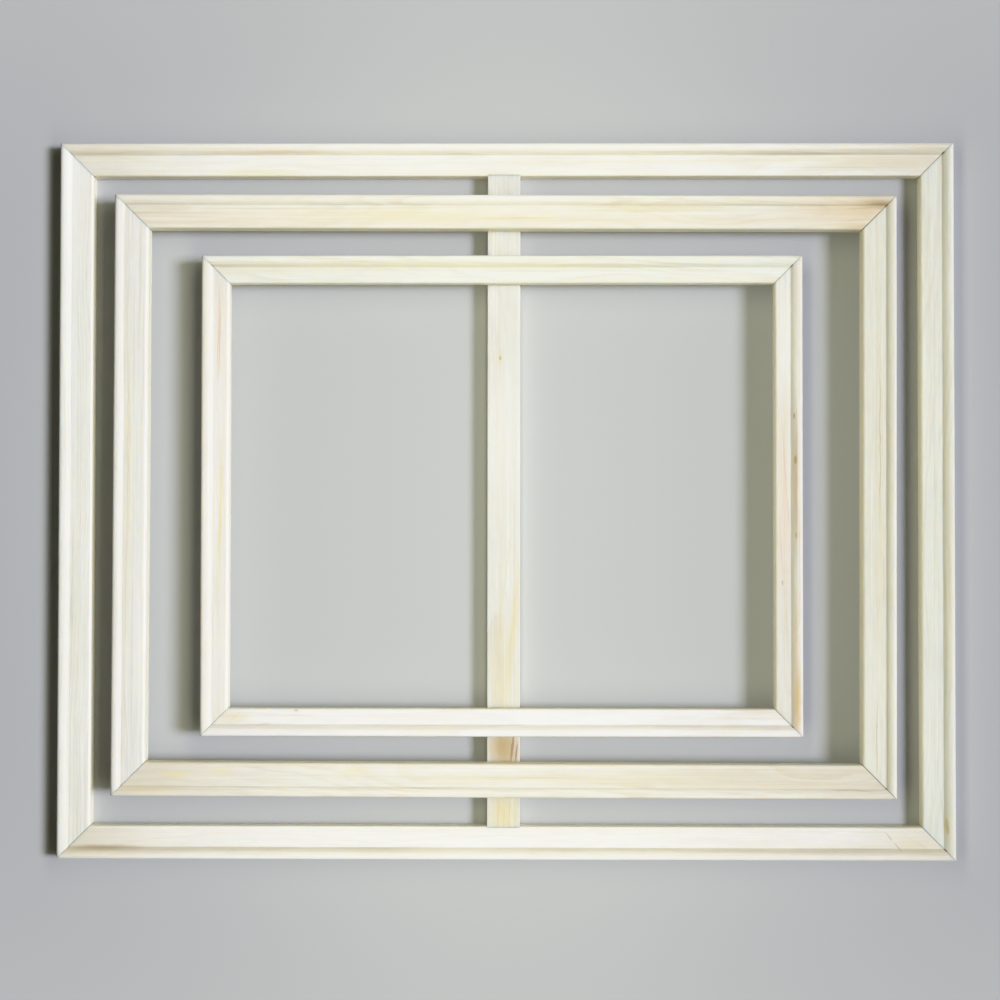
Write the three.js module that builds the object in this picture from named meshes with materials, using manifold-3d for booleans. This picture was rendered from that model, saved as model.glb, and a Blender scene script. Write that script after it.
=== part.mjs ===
// A nested set of three bare wooden screen printing frames: a large frame with a centre brace, and a
// medium and a small frame that lie loose inside its window, resting on the brace.
// Millimetres. +X is the frames' long side, +Y the short side, +Z the moulded front.
// The origin is the centre of the large frame's flat back, on the plane it rests on.
import * as THREE from "three";
import { mergeVertices } from "three/addons/utils/BufferGeometryUtils.js";
import Module from "manifold-3d";

const wasm = await Module();
wasm.setup();

const { degToRad } = THREE.MathUtils;

// ---------------------------------------------------------------- centre brace dimensions
const BRACE = { x: -1.7, width: 27.4, thick: 15.6 };
const BRACE_FASTENER = { length: 16, halfWaves: 6 }; // one at each end, on the back
const TENON = {
  width: 21,
  length: 10, // beyond the window wall
  root: 5, // overlap into the brace
  bottom: 4.8,
  top: 10.6,
};
const REST_GAP = 0.3; // between the brace and the loose frames lying on it
const REST_Z = BRACE.thick + REST_GAP;

// ---------------------------------------------------------------- frame dimensions
// length and height: outside, along X and Y
// width: of a rail, from its outer face to its window
// thick: of a rail, back to the top of its bead
// ovolo: radius of the bead's inner slope
// arris: radius of the rounded edge at the window
// at, turn: place of the frame's back centre, and degrees about Z
// fasteners: their length, and their distances from the window corner along the mitre
// tones: red, green and blue of each rail
const LARGE = {
  name: "large",
  length: 750,
  height: 600,
  width: 27.5,
  thick: 19,
  ovolo: 9.0,
  arris: 2.0,
  at: [0, 0, 0],
  turn: 0,
  fasteners: { length: 20, inner: 11.5, outer: 24.5 },
  tones: {
    top: [0.89, 0.87, 0.78],
    left: [0.86, 0.86, 0.79],
    bottom: [0.91, 0.9, 0.86],
    right: [0.84, 0.83, 0.75],
  },
};
const MEDIUM = {
  name: "medium",
  length: 650,
  height: 500,
  width: 28,
  thick: 19,
  ovolo: 7.3,
  arris: 2.6,
  at: [-1.3, 3.55, REST_Z],
  turn: -0.14,
  fasteners: { length: 20, inner: 11.5, outer: 24.5 },
  tones: {
    top: [0.88, 0.84, 0.72],
    left: [0.85, 0.84, 0.76],
    bottom: [0.85, 0.83, 0.73],
    right: [0.84, 0.83, 0.74],
  },
};
const SMALL = {
  name: "small",
  length: 500,
  height: 400,
  width: 23,
  thick: 16,
  ovolo: 9.0,
  arris: 2.4,
  at: [-3.5, 3.55, REST_Z],
  turn: 0,
  fasteners: { length: 17, inner: 11.0, outer: 20.5 },
  tones: {
    top: [0.87, 0.86, 0.77],
    left: [0.88, 0.87, 0.8],
    bottom: [0.89, 0.88, 0.82],
    right: [0.83, 0.81, 0.71],
  },
};
const BRACE_TONE = [0.87, 0.86, 0.78];

// ---------------------------------------------------------------- shared dimensions
// the moulding of every rail
const BACK_EDGE = 0.5; // small chamfer on the two back edges
const SHOULDER = { across: 2.4, down: 2.2 }; // rounded outer shoulder of the bead
const CREST_END = 3.0; // where the bead's flat crest ends, from the outer face
const OVOLO_END = degToRad(45); // steepness of its inner slope where it meets the foot
const FOOT_RADIUS = 0.8; // small hollow at the foot of the bead
const LAND_SLOPE = degToRad(1.5); // the flat land falls a little towards the window
const ARC_STEPS = 4;
const FOOT_STEPS = 2;

// corner joints: a mitred bridle, with tongues on the long rails and open slots in the short ones
const MITRE_GAP = 0.3; // between the two mitred faces
const JOINT_GAP = 0.15; // round the tongues and tenons, and at the brace's ends
const TONGUE = { from: 0.333, to: 0.655 }; // as shares of the rail's thickness
const TONGUE_ROOT = 3; // overlap of the tongue into its rail, behind the mitre
const OVERCUT = 5; // how far cutters run out past the surface they open

// corrugated steel fasteners, driven in across each joint from the back
const FASTENER = {
  thick: 0.8,
  wave: 1.1, // half the height of its waves
  sunk: 0.2, // its near edge, above the plane of the back
  deep: 10, // its far edge, above the plane of the back
  gap: 0.12, // round it, in its slot
};
const CORNER_HALF_WAVES = 8;

// ---------------------------------------------------------------- materials
const wood = (tone) =>
  new THREE.MeshStandardMaterial({
    color: new THREE.Color(...tone),
    roughness: 0.62,
    metalness: 0,
  });
const steel = () =>
  new THREE.MeshStandardMaterial({
    color: new THREE.Color(0.56, 0.57, 0.58),
    roughness: 0.38,
    metalness: 1,
  });

// ---------------------------------------------------------------- solids
// Extrudes an outline; place maps each point (outline's two, then depth) to [x, y, z].
function extruded(outline, depth, place) {
  const shape = new THREE.Shape(outline.map((point) => new THREE.Vector2(...point)));
  const geometry = new THREE.ExtrudeGeometry(shape, { depth, bevelEnabled: false });
  const position = geometry.attributes.position;
  for (let i = 0; i < position.count; i++) {
    const placed = place(position.getX(i), position.getY(i), position.getZ(i));
    position.setXYZ(i, ...placed);
  }
  // without normals and uvs, the corners merge into a closed surface
  geometry.deleteAttribute("normal");
  geometry.deleteAttribute("uv");
  const merged = mergeVertices(geometry, 1e-4);
  return new wasm.Manifold(
    new wasm.Mesh({
      numProp: 3,
      vertProperties: merged.attributes.position.array,
      triVerts: new Uint32Array(merged.index.array),
    }),
  );
}

// An upright prism: its outline in X and Y, from bottom to top.
const prism = (outline, bottom, top) =>
  extruded(outline, top - bottom, (x, y, z) => [x, y, z + bottom]);

const rectangle = (x0, x1, y0, y1) => [
  [x0, y0],
  [x1, y0],
  [x1, y1],
  [x0, y1],
];

function meshOf(solid, name, material) {
  const { vertProperties, triVerts } = solid.getMesh();
  const geometry = new THREE.BufferGeometry();
  geometry.setAttribute("position", new THREE.BufferAttribute(vertProperties, 3));
  geometry.setIndex(new THREE.BufferAttribute(triVerts, 1));
  geometry.computeVertexNormals();
  const mesh = new THREE.Mesh(geometry, material);
  mesh.name = name;
  return mesh;
}

// ---------------------------------------------------------------- the moulding
// Profile points are (u, z): u from the outer face towards the window, z up from the back.
function arc({ centre, radii, from, to, steps = ARC_STEPS }) {
  const points = [];
  for (let i = 0; i <= steps; i++) {
    const angle = from + ((to - from) * i) / steps;
    points.push([
      centre[0] + radii[0] * Math.cos(angle),
      centre[1] + radii[1] * Math.sin(angle),
    ]);
  }
  return points;
}

// Centre of the hollow at the foot of the bead, which meets the ovolo slope smoothly.
function footCentre({ thick, ovolo }) {
  const reach = ovolo + FOOT_RADIUS;
  return [
    CREST_END + reach * Math.sin(OVOLO_END),
    thick - ovolo + reach * Math.cos(OVOLO_END),
  ];
}

// Centre of the rounded edge at the window, which meets the land and the window wall smoothly.
function windowEdgeCentre(frame) {
  const { width, arris } = frame;
  const [footU, footZ] = footCentre(frame);
  const landStartU = footU - FOOT_RADIUS * Math.sin(LAND_SLOPE);
  const landStartZ = footZ - FOOT_RADIUS * Math.cos(LAND_SLOPE);
  const landEndU = width - arris + arris * Math.sin(LAND_SLOPE);
  const landEndZ = landStartZ - (landEndU - landStartU) * Math.tan(LAND_SLOPE);
  return [width - arris, landEndZ - arris * Math.cos(LAND_SLOPE)];
}

// The rail's outline, anticlockwise.
function railProfile(frame) {
  const { width, thick, ovolo, arris } = frame;
  const windowEdge = arc({
    centre: windowEdgeCentre(frame),
    radii: [arris, arris],
    from: 0,
    to: Math.PI / 2 - LAND_SLOPE,
  });
  const foot = arc({
    centre: footCentre(frame),
    radii: [FOOT_RADIUS, FOOT_RADIUS],
    from: -Math.PI / 2 - LAND_SLOPE,
    to: -Math.PI / 2 - OVOLO_END,
    steps: FOOT_STEPS,
  });
  const slope = arc({
    centre: [CREST_END, thick - ovolo],
    radii: [ovolo, ovolo],
    from: Math.PI / 2 - OVOLO_END,
    to: Math.PI / 2,
  });
  const shoulder = arc({
    centre: [SHOULDER.across, thick - SHOULDER.down],
    radii: [SHOULDER.across, SHOULDER.down],
    from: Math.PI / 2,
    to: Math.PI,
  });
  return [
    [0, BACK_EDGE],
    [BACK_EDGE, 0],
    [width - BACK_EDGE, 0],
    [width, BACK_EDGE],
    ...windowEdge,
    ...foot.slice(0, -1), // its last point is the slope's first
    ...slope,
    ...shoulder,
  ];
}

// ---------------------------------------------------------------- corrugated fasteners
// Outline of a corrugated strip, along s with its waves in t, grown by gap all round.
function corrugation(length, halfWaves, gap) {
  const lower = [];
  const upper = [];
  const pitch = length / halfWaves;
  const lean = Math.hypot(pitch, 2 * FASTENER.wave) / pitch;
  const halfThick = (FASTENER.thick / 2 + gap) * lean; // measured in t
  for (let i = 0; i <= halfWaves; i++) {
    const endGap = i === 0 ? -gap : i === halfWaves ? gap : 0;
    const s = -length / 2 + i * pitch + endGap;
    const t = FASTENER.wave * (i % 2 ? 1 : -1);
    upper.push([s, t + halfThick]);
    lower.push([s, t - halfThick]);
  }
  return [...lower, ...upper.reverse()];
}

// A fastener and the cutter for its slot; sDir and tDir are unit vectors in X and Y.
function makeFastener({ name, centre, sDir, tDir, length, halfWaves }) {
  const outline = (gap) =>
    corrugation(length, halfWaves, gap).map(([s, t]) => [
      centre[0] + s * sDir[0] + t * tDir[0],
      centre[1] + s * sDir[1] + t * tDir[1],
    ]);
  return {
    name,
    body: prism(outline(0), FASTENER.sunk, FASTENER.deep),
    slot: prism(outline(FASTENER.gap), -OVERCUT, FASTENER.deep + FASTENER.gap),
  };
}

// ---------------------------------------------------------------- one frame
// Sides in order of quarter turns from the top rail, with the exact cosine and sine of each.
const SIDES = [
  { side: "top", cos: 1, sin: 0 },
  { side: "left", cos: 0, sin: 1 },
  { side: "bottom", cos: -1, sin: 0 },
  { side: "right", cos: 0, sin: -1 },
];
const CORNERS = {
  top_left: [-1, 1],
  top_right: [1, 1],
  bottom_left: [-1, -1],
  bottom_right: [1, -1],
};

// A rail with both ends mitred, lying along X with its outer face at y = outerY.
function mitredRail(profile, halfLength, outerY) {
  const setBack = (MITRE_GAP / 2) * Math.SQRT2;
  return extruded(profile, 1, (u, z, depth) => {
    const end = depth < 0.5 ? 1 : -1;
    return [end * (halfLength - u - setBack), outerY - u, z];
  });
}

// The tongue fills the corner square beyond the mitre, at mid thickness.
function tongue({ width, thick }, end, halfLength, outerY) {
  const outline = [
    [end * (halfLength - width - TONGUE_ROOT), outerY - width],
    [end * halfLength, outerY - width],
    [end * halfLength, outerY],
    [end * (halfLength - TONGUE_ROOT), outerY],
  ];
  return prism(outline, TONGUE.from * thick, TONGUE.to * thick);
}

// Cutter for the open slot the tongue slides into.
function tongueSlot({ width, thick }, end, halfLength, outerY) {
  const outline = rectangle(
    end * (halfLength - width - JOINT_GAP),
    end * (halfLength + OVERCUT),
    outerY - width - OVERCUT,
    outerY + OVERCUT,
  );
  return prism(outline, TONGUE.from * thick - JOINT_GAP, TONGUE.to * thick + JOINT_GAP);
}

function jointedRail(frame, { side, cos, sin }) {
  const isLong = side === "top" || side === "bottom";
  const halfLength = (isLong ? frame.length : frame.height) / 2;
  const outerY = (isLong ? frame.height : frame.length) / 2;
  let rail = mitredRail(railProfile(frame), halfLength, outerY);
  for (const end of [1, -1]) {
    rail = isLong
      ? rail.add(tongue(frame, end, halfLength, outerY))
      : rail.subtract(tongueSlot(frame, end, halfLength, outerY));
  }
  return rail.transform([cos, sin, 0, 0, -sin, cos, 0, 0, 0, 0, 1, 0, 0, 0, 0, 1]);
}

// Two fasteners across each mitre.
function cornerFasteners({ name, length, height, width, fasteners }) {
  const diagonal = Math.SQRT1_2;
  return Object.entries(CORNERS).flatMap(([corner, [signX, signY]]) =>
    ["inner", "outer"].map((place) => {
      const offset = fasteners[place] * diagonal;
      const fastener = makeFastener({
        name: `${name}_fastener_${corner}_${place}`,
        centre: [signX * (length / 2 - width + offset), signY * (height / 2 - width + offset)],
        sDir: [signX * diagonal, -signY * diagonal],
        tDir: [signX * diagonal, signY * diagonal],
        length: fasteners.length,
        halfWaves: CORNER_HALF_WAVES,
      });
      return { ...fastener, corner };
    }),
  );
}

// extraCuts lists further cutters by side.
function buildFrame(frame, extraCuts = {}) {
  const group = new THREE.Group();
  const fasteners = cornerFasteners(frame);
  for (const turn of SIDES) {
    const { side } = turn;
    const slots = fasteners.filter(({ corner }) => corner.includes(side)).map(({ slot }) => slot);
    let rail = jointedRail(frame, turn);
    for (const cutter of [...slots, ...(extraCuts[side] ?? [])]) rail = rail.subtract(cutter);
    group.add(meshOf(rail, `${frame.name}_${side}_rail`, wood(frame.tones[side])));
  }
  for (const { name, body } of fasteners) group.add(meshOf(body, name, steel()));
  group.position.set(...frame.at);
  group.rotation.z = degToRad(frame.turn);
  return group;
}

// ---------------------------------------------------------------- centre brace
const WALL_Y = LARGE.height / 2 - LARGE.width; // the large frame's window wall

// A stub tenon at the +Y or -Y end, or the cutter for its blind mortise when grown by gap.
function tenon(end, gap) {
  const halfWidth = TENON.width / 2 + gap;
  const outline = rectangle(
    BRACE.x - halfWidth,
    BRACE.x + halfWidth,
    end * (WALL_Y - TENON.root),
    end * (WALL_Y + TENON.length + gap),
  );
  return prism(outline, TENON.bottom - gap, TENON.top + gap);
}

const braceFastener = (side, end) =>
  makeFastener({
    name: `large_fastener_brace_${side}`,
    centre: [BRACE.x, end * WALL_Y],
    sDir: [0, 1],
    tDir: [1, 0],
    ...BRACE_FASTENER,
  });

// Its ends are scribed to the rails' rounded window edge, a joint gap clear of it.
function braceSolid(fasteners) {
  const centre = windowEdgeCentre(LARGE);
  const radius = LARGE.arris + JOINT_GAP;
  const scribe = arc({
    centre,
    radii: [radius, radius],
    from: 0,
    to: Math.asin((BRACE.thick - centre[1]) / radius), // at the brace's own top
  });
  // the +Y end as (y, z), from the back up
  const endOutline = [
    [WALL_Y - JOINT_GAP, 0],
    ...scribe.map(([u, z]) => [LARGE.height / 2 - u, z]),
  ];
  const outline = [...endOutline, ...endOutline.map(([y, z]) => [-y, z]).reverse()];
  const left = BRACE.x - BRACE.width / 2;
  let brace = extruded(outline, BRACE.width, (y, z, depth) => [left + depth, y, z]);
  for (const end of [1, -1]) brace = brace.add(tenon(end, 0));
  for (const { slot } of fasteners) brace = brace.subtract(slot);
  return brace;
}

function buildBracedFrame() {
  const top = braceFastener("top", 1);
  const bottom = braceFastener("bottom", -1);
  const group = buildFrame(LARGE, {
    top: [tenon(1, JOINT_GAP), top.slot],
    bottom: [tenon(-1, JOINT_GAP), bottom.slot],
  });
  group.add(meshOf(braceSolid([top, bottom]), "large_centre_brace", wood(BRACE_TONE)));
  for (const { name, body } of [top, bottom]) group.add(meshOf(body, name, steel()));
  return group;
}

// ---------------------------------------------------------------- the set
const set = new THREE.Group();
set.name = "screen_printing_frames";
set.add(buildBracedFrame(), buildFrame(MEDIUM), buildFrame(SMALL));

export default set;
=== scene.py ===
"""Three mitred softwood frames, large, medium and small, lying flat with the moulded face up.

X runs along a frame's length, Y along its height and Z up from its back. The large frame has a
centre brace along Y. Corrugated steel strips, set into the backs, hold the corners and the brace.
Sizes are in millimetres until a mesh is finished. Lights, camera and floor are in metres.
"""
import itertools
import math
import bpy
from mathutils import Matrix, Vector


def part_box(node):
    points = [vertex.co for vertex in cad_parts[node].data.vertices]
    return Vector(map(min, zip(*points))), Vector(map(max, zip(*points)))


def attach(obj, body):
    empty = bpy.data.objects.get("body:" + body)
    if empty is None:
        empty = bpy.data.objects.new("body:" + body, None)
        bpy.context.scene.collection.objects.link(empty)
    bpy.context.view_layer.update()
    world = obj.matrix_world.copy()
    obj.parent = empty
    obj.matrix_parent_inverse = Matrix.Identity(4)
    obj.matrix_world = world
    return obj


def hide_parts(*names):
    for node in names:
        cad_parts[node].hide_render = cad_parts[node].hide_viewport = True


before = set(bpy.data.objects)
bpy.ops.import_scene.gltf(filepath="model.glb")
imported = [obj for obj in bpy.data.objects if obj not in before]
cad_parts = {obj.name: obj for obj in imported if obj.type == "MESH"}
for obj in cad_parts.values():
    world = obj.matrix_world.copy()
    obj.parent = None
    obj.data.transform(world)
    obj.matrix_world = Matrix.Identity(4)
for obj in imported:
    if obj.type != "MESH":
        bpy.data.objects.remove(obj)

from types import SimpleNamespace

import bmesh
import bpy
import numpy as np
from mathutils import Matrix, Vector

for stray in ("Cube", "Light", "Camera"):
    if stray in bpy.data.objects:
        bpy.data.objects.remove(bpy.data.objects[stray], do_unlink=True)
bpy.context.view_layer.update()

# ------------------------------------------------------------------ sizes, millimetres
# width and thick are the rail's section, ovolo and arris radii in it, turn is degrees about Z.
# strip_at holds the distances of the two corner strips from the window's corner.
FRAMES = {
    "large": SimpleNamespace(
        length=750.0, height=600.0, width=27.5, thick=19.0, ovolo=9.0, arris=2.0, turn=0.0,
        strip_length=20.0, strip_at=(11.5, 24.5),
    ),
    "medium": SimpleNamespace(
        length=650.0, height=500.0, width=28.0, thick=19.0, ovolo=7.3, arris=2.6, turn=-0.14,
        strip_length=20.0, strip_at=(11.5, 24.5),
    ),
    "small": SimpleNamespace(
        length=500.0, height=400.0, width=23.0, thick=16.0, ovolo=9.0, arris=2.4, turn=0.0,
        strip_length=17.0, strip_at=(11.0, 20.5),
    ),
}
SIDES = ["top", "left", "bottom", "right"]  # quarter turns about Z from the top rail
CORNERS = {
    "top_left": (-1, 1),
    "top_right": (1, 1),
    "bottom_left": (-1, -1),
    "bottom_right": (1, -1),
}
# The corner at each rail's +X and -X end, in the rail's own direction.
ENDS = {
    "top": ("top_right", "top_left"),
    "left": ("top_left", "bottom_left"),
    "bottom": ("bottom_left", "bottom_right"),
    "right": ("bottom_right", "top_right"),
}

# section of the moulding
BACK_R = 0.5
SHOULDER_RU, SHOULDER_RZ = 2.4, 2.2
CREST_END = 3.0  # where the ovolo starts, from the outer face
OVOLO_END = math.radians(45)
FOOT_R = 0.8
LAND_SLOPE = math.radians(1.5)
END_EASE = 0.16
RING_PITCH = 16  # between the cross-sections of a rail

# corner joints
TONGUE_Z = (0.333, 0.655)  # bottom and top, as parts of the thickness
TONGUE_ROOT = 3.0  # how far the tongue reaches back into its own rail
TONGUE_SHORT = 0.1  # how far it stops short of the outer face
SLOT_OVERRUN = 5.0
JOINT_GAP = 0.12
# Half gap of each mitre, square to the joint, at its outer and its inner end.
MITRES = {
    "large": dict(
        top_left=(0.015, 0.035), top_right=(0.025, 0.13),
        bottom_left=(0.03, 0.10), bottom_right=(0.03, 0.14),
    ),
    "medium": dict(
        top_left=(0.012, 0.025), top_right=(0.04, 0.25),
        bottom_left=(0.02, 0.10), bottom_right=(0.09, 0.20),
    ),
    "small": dict(
        top_left=(0.015, 0.05), top_right=(0.02, 0.10),
        bottom_left=(0.04, 0.07), bottom_right=(0.05, 0.15),
    ),
}

# corrugated strips; z is measured from the back of the frame
STRIP_THICK = 0.8
STRIP_WAVE = 1.1
STRIP_LOW = 0.2
STRIP_DEEP = 10.0
STRIP_PLAY = 0.05
STRIP_HALVES = 8  # half waves along a corner strip
HALF_WAVE_STEPS = 7
CUT_OVERRUN = 3.0
BRACE_STRIP_LENGTH = 16.0
BRACE_STRIP_HALVES = 6
# Height and growth of the outline of each ring: thin at the deep end, eased at the low end.
STRIP_RINGS = (
    (STRIP_DEEP, -0.31),
    (STRIP_DEEP - 0.9, -0.12),
    (STRIP_DEEP - 2.0, 0.0),
    (STRIP_LOW + 4.0, 0.0),
    (STRIP_LOW + 0.10, 0.0),
    (STRIP_LOW, -0.08),
)

# centre brace
BRACE = "large_centre_brace"
BRACE_EDGE_R = 0.45
BRACE_SPANS = 36
BRACE_SHORT = 0.1  # how far the blank stops short of the inner end of the arris
SCRIBE_GAP = 0.09
SCRIBE_OVERRUN = 6
TENON = SimpleNamespace(width=21.0, long=10.0, root=6, z0=4.8, z1=10.6)
MORTISE_OVERRUN = 4


def cad_box(node):
    lo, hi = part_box(node)
    return np.array(lo) * 1000, np.array(hi) * 1000


def brace_x():
    lo, hi = cad_box(BRACE)
    return (lo[0] + hi[0]) / 2


def place_frame(name, f):
    """Reads where a frame lies from the CAD boxes of its rails."""
    boxes = [cad_box(f"{name}_{side}_rail") for side in SIDES]
    lo = np.min([b[0] for b in boxes], axis=0)
    hi = np.max([b[1] for b in boxes], axis=0)
    turn = math.radians(abs(f.turn))
    want = (
        f.length * math.cos(turn) + f.height * math.sin(turn),
        f.height * math.cos(turn) + f.length * math.sin(turn),
        f.thick,
    )
    if np.abs((hi - lo) - want).max() > 1.0:
        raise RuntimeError(f"{name} frame is {hi - lo}, not {want}")
    centre = (lo + hi) / 2
    f.place = Matrix.Translation(
        (centre[0] / 1000, centre[1] / 1000, float(lo[2]) / 1000)
    ) @ Matrix.Rotation(math.radians(f.turn), 4, "Z")


for frame_name, frame in FRAMES.items():
    place_frame(frame_name, frame)

# ------------------------------------------------------------------ deterministic smooth noise
LATTICE_SIZE = 64
LATTICE = np.random.RandomState(20417).rand(LATTICE_SIZE, LATTICE_SIZE, LATTICE_SIZE)
# Unevenness of the wood: patch size along x, y, z, factor on the seed, strength,
# and the shifts that make the y and z noise differ.
WANDER = (
    ((95.0, 24.0, 24.0), 1.0, 1.0, (11.3, 37.7)),
    ((31.0, 9.0, 9.0), 1.7, 0.35, (5.1, 23.9)),
)


def value_noise(points):
    """Smooth value noise in -1..1 at N x 3 points."""
    cell = np.floor(points).astype(int)
    part = points - cell
    part = part * part * (3 - 2 * part)
    total = np.zeros(len(points))
    for step in itertools.product((0, 1), repeat=3):
        weight = np.ones(len(points))
        for axis in range(3):
            weight = weight * (part[:, axis] if step[axis] else 1 - part[:, axis])
        x, y, z = ((cell + step) % LATTICE_SIZE).T
        total += weight * LATTICE[x, y, z]
    return total * 2 - 1


def wandered(co, amount, seed):
    """Points moved a little in y and z, as in hand-run wood."""
    drift = np.zeros_like(co)
    for size, seed_factor, strength, shifts in WANDER:
        at = co / np.array(size) + seed * seed_factor
        for axis, shift in zip((1, 2), shifts):
            drift[:, axis] += strength * value_noise(at + shift)
    return co + drift * amount


# ------------------------------------------------------------------ section of the moulding
def arc(cu, cz, ru, rz, start, end, steps):
    """Points of an elliptical arc round (cu, cz), angles in radians."""
    points = []
    for i in range(steps + 1):
        angle = start + (end - start) * i / steps
        points.append((cu + ru * math.cos(angle), cz + rz * math.sin(angle)))
    return points


def straight(start, end, support, pitch, rounding):
    """Points between start and end, the outermost close to the ends to keep the curves crisp."""
    start, end = np.array(start), np.array(end)
    length = float(np.linalg.norm(end - start))
    inner = length - 2 * support
    count = rounding(inner / pitch)
    return [
        tuple(start + (end - start) * (support + inner * i / count) / length)
        for i in range(count + 1)
    ]


def land_start(f):
    """Where the foot of the ovolo runs out into the sloping land."""
    ovolo_u = CREST_END + f.ovolo * math.sin(OVOLO_END)
    ovolo_z = f.thick - f.ovolo + f.ovolo * math.cos(OVOLO_END)
    return (
        ovolo_u + FOOT_R * (math.sin(OVOLO_END) - math.sin(LAND_SLOPE)),
        ovolo_z - FOOT_R * (math.cos(LAND_SLOPE) - math.cos(OVOLO_END)),
    )


def arris_centre(f):
    foot_u, foot_z = land_start(f)
    land_end = f.width - f.arris + f.arris * math.sin(LAND_SLOPE)
    land_z = foot_z - (land_end - foot_u) * math.tan(LAND_SLOPE)
    return f.width - f.arris, land_z - f.arris * math.cos(LAND_SLOPE)


def rail_section(f):
    """(u, z) anticlockwise: u from the outer face towards the window, z from the back."""
    width, back = f.width, BACK_R
    foot_u, foot_z = land_start(f)
    edge_u, edge_z = arris_centre(f)
    quarter = math.pi / 2
    flat = dict(support=0.35, pitch=3.2, rounding=math.ceil)

    points = arc(back, back, back, back, math.pi, 3 * quarter, 5)
    points += straight((back, 0), (width - back, 0), **flat)
    points += arc(width - back, back, back, back, -quarter, 0, 5)
    points += straight((width, back), (width, edge_z), **flat)
    points += arc(edge_u, edge_z, f.arris, f.arris, 0, quarter - LAND_SLOPE, 12)
    points += straight(points[-1], (foot_u, foot_z), **flat)
    foot = arc(
        foot_u + FOOT_R * math.sin(LAND_SLOPE),
        foot_z + FOOT_R * math.cos(LAND_SLOPE),
        FOOT_R,
        FOOT_R,
        -quarter - LAND_SLOPE,
        -quarter - OVOLO_END,
        6,
    )
    points += foot[:-1]  # the ovolo begins at the foot's last point
    points += arc(
        CREST_END, f.thick - f.ovolo, f.ovolo, f.ovolo, quarter - OVOLO_END, quarter, 14
    )
    points += arc(
        SHOULDER_RU, f.thick - SHOULDER_RZ, SHOULDER_RU, SHOULDER_RZ, quarter, math.pi, 12
    )
    points += straight(points[-1], (0, back), **flat)
    return np.array(points)


def inset(section, distance):
    """The closed section moved inwards along its corner normals (outwards when negative)."""
    before = section - np.roll(section, 1, axis=0)
    after = np.roll(section, -1, axis=0) - section
    normals = [
        np.stack([-edge[:, 1], edge[:, 0]], 1) / np.linalg.norm(edge, axis=1)[:, None]
        for edge in (before, after)
    ]
    corner = normals[0] + normals[1]
    corner /= np.linalg.norm(corner, axis=1)[:, None]
    stretch = 1 / np.maximum(0.5, (corner * normals[0]).sum(1))
    return section + corner * (distance * stretch)[:, None]


# ------------------------------------------------------------------ mesh helpers
def new_object(name, verts, faces):
    mesh = bpy.data.meshes.new(name)
    mesh.from_pydata([tuple(map(float, v)) for v in verts], [], faces)
    mesh.update()
    ob = bpy.data.objects.new(name, mesh)
    bpy.context.scene.collection.objects.link(ob)
    return ob


def outward(ob):
    bm = bmesh.new()
    bm.from_mesh(ob.data)
    bmesh.ops.recalc_face_normals(bm, faces=bm.faces)
    bm.to_mesh(ob.data)
    bm.free()
    return ob


def prism(name, outline, z0, z1):
    n = len(outline)
    verts = [(x, y, z0) for x, y in outline] + [(x, y, z1) for x, y in outline]
    faces = [list(range(n))[::-1], list(range(n, 2 * n))]
    faces += [[i, (i + 1) % n, n + (i + 1) % n, n + i] for i in range(n)]
    return outward(new_object(name, verts, faces))


def loft(name, rings):
    """A closed skin over equal rings of points, with a flat face at each end."""
    n = len(rings[0])
    faces = []
    for j in range(len(rings) - 1):
        for i in range(n):
            a, b = j * n + i, j * n + (i + 1) % n
            faces.append([a, a + n, b + n, b])
    last = (len(rings) - 1) * n
    faces.append(list(range(n)))
    faces.append([last + i for i in range(n)][::-1])
    return outward(new_object(name, np.concatenate(rings), faces))


def drop(ob):
    mesh = ob.data
    bpy.data.objects.remove(ob)
    if mesh.users == 0:
        bpy.data.meshes.remove(mesh)


def joined(name, obs):
    bm = bmesh.new()
    for ob in obs:
        bm.from_mesh(ob.data)
    mesh = bpy.data.meshes.new(name)
    bm.to_mesh(mesh)
    bm.free()
    for ob in obs:
        drop(ob)
    whole = bpy.data.objects.new(name, mesh)
    bpy.context.scene.collection.objects.link(whole)
    return whole


def boolean(ob, other, operation):
    """Joins or cuts, and puts the result on ob. The other object is used up."""
    before = ob.data
    # the second solver is there for a first result with open edges
    for solver in ("EXACT", "MANIFOLD"):
        modifier = ob.modifiers.new("b", "BOOLEAN")
        modifier.operation = operation
        modifier.object = other
        modifier.solver = solver
        depsgraph = bpy.context.evaluated_depsgraph_get()
        depsgraph.update()
        made = bpy.data.meshes.new_from_object(ob.evaluated_get(depsgraph))
        ob.modifiers.clear()
        bm = bmesh.new()
        bm.from_mesh(made)
        bmesh.ops.remove_doubles(bm, verts=bm.verts, dist=1e-4)
        open_edges = sum(1 for e in bm.edges if len(e.link_faces) != 2)
        bm.to_mesh(made)
        bm.free()
        if open_edges == 0 and len(made.polygons):
            break
    else:
        raise RuntimeError(f"{ob.name}: {operation} with {other.name}: {open_edges} open edges")
    ob.data = made
    bpy.data.meshes.remove(before)
    drop(other)


def finish_mesh(ob, name, matrix, angle=28.0, wander=0.0, seed=0.0):
    """Unevenness, metres, smooth shading between sharp edges, and the object's name and place."""
    mesh = ob.data
    co = np.zeros(len(mesh.vertices) * 3)
    mesh.vertices.foreach_get("co", co)
    co = co.reshape(-1, 3)
    if wander:
        co = wandered(co, wander, seed)
    mesh.vertices.foreach_set("co", (co / 1000.0).ravel())
    mesh.update()
    for polygon in mesh.polygons:
        polygon.use_smooth = True
    mesh.set_sharp_from_angle(angle=math.radians(angle))
    mesh.name = name
    ob.name = name
    ob.matrix_world = matrix


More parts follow.
